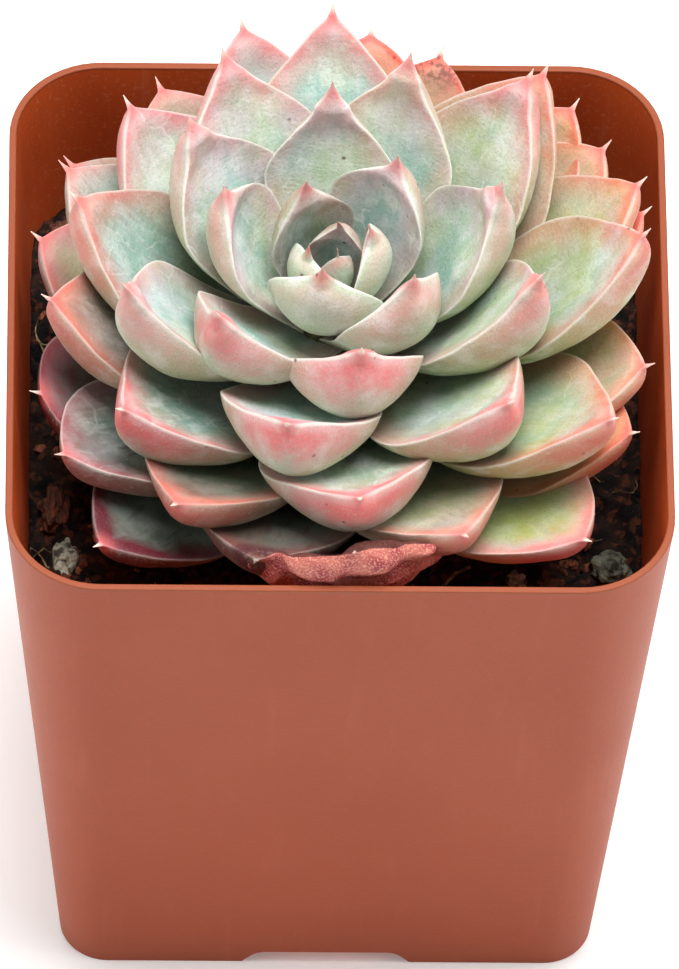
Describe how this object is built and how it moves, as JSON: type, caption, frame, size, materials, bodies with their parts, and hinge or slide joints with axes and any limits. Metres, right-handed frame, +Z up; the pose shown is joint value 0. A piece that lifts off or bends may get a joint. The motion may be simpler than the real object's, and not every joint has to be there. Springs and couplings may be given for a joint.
{
  "type": "potted red line queen echeveria",
  "caption": "Fleshy rosette succulent with red-edged leaves, growing in soil in a square tapered plastic nursery pot; stands on its own.",
  "frame": {"origin": "middle of the square that the pot stands on, on the ground", "axes": "+Z up, -Y towards the side that the picture shows in front, +X to the right"},
  "size_m": [0.07, 0.07, 0.0996],
  "materials": {
    "pot": "smooth satin plastic in terracotta orange, with no markings",
    "soil": "dark peat and bark potting mix, rough",
    "leaf": "grey-green flesh under a pale powdery bloom, with pink margins and coral red tips",
    "perlite": "pale grey mineral grain, rough",
    "bark": "dark brown bark chip, rough"
  },
  "bodies": {
    "root": {"pot": "pot", "soil": "soil", "rosette": "leaf", "perlite_1": "perlite", "perlite_2": "perlite", "perlite_3": "perlite", "bark_1": "bark", "bark_2": "bark", "bark_3": "bark"}
  },
  "joints": []
}
